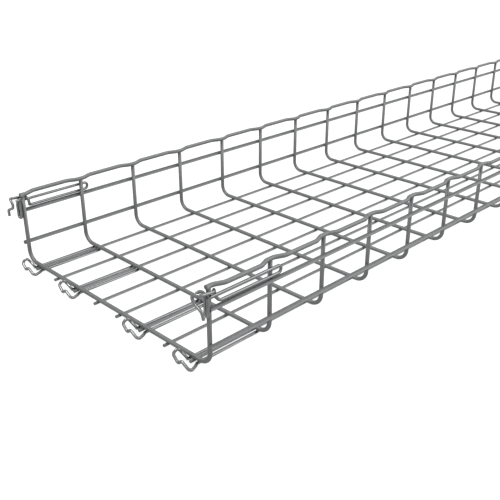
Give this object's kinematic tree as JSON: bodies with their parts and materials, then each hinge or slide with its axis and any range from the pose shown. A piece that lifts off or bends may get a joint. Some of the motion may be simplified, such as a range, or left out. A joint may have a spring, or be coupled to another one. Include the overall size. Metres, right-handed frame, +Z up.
{
  "type": "wire mesh cable tray",
  "caption": "Straight length of welded wire mesh cable tray with wavy edge wires and formed wire couplers at one end.",
  "frame": {"origin": "middle of the length and width, on the plane that the tray rests on", "axes": "+X along the tray, away from the coupler end; +Y towards the left side wall as seen from the coupler end; +Z up"},
  "size_m": [3.0308, 0.4332, 0.1149],
  "materials": {
    "mesh_wire": "galvanised, dull",
    "coupler_wire": "zinc plated spring wire, bright"
  },
  "bodies": {
    "root": {"floor_mesh": "mesh_wire", "left_side_mesh": "mesh_wire", "right_side_mesh": "mesh_wire", "floor_coupler_1": "coupler_wire", "floor_coupler_2": "coupler_wire", "floor_coupler_3": "coupler_wire", "floor_coupler_4": "coupler_wire", "left_side_coupler": "coupler_wire", "right_side_coupler": "coupler_wire"}
  },
  "joints": []
}
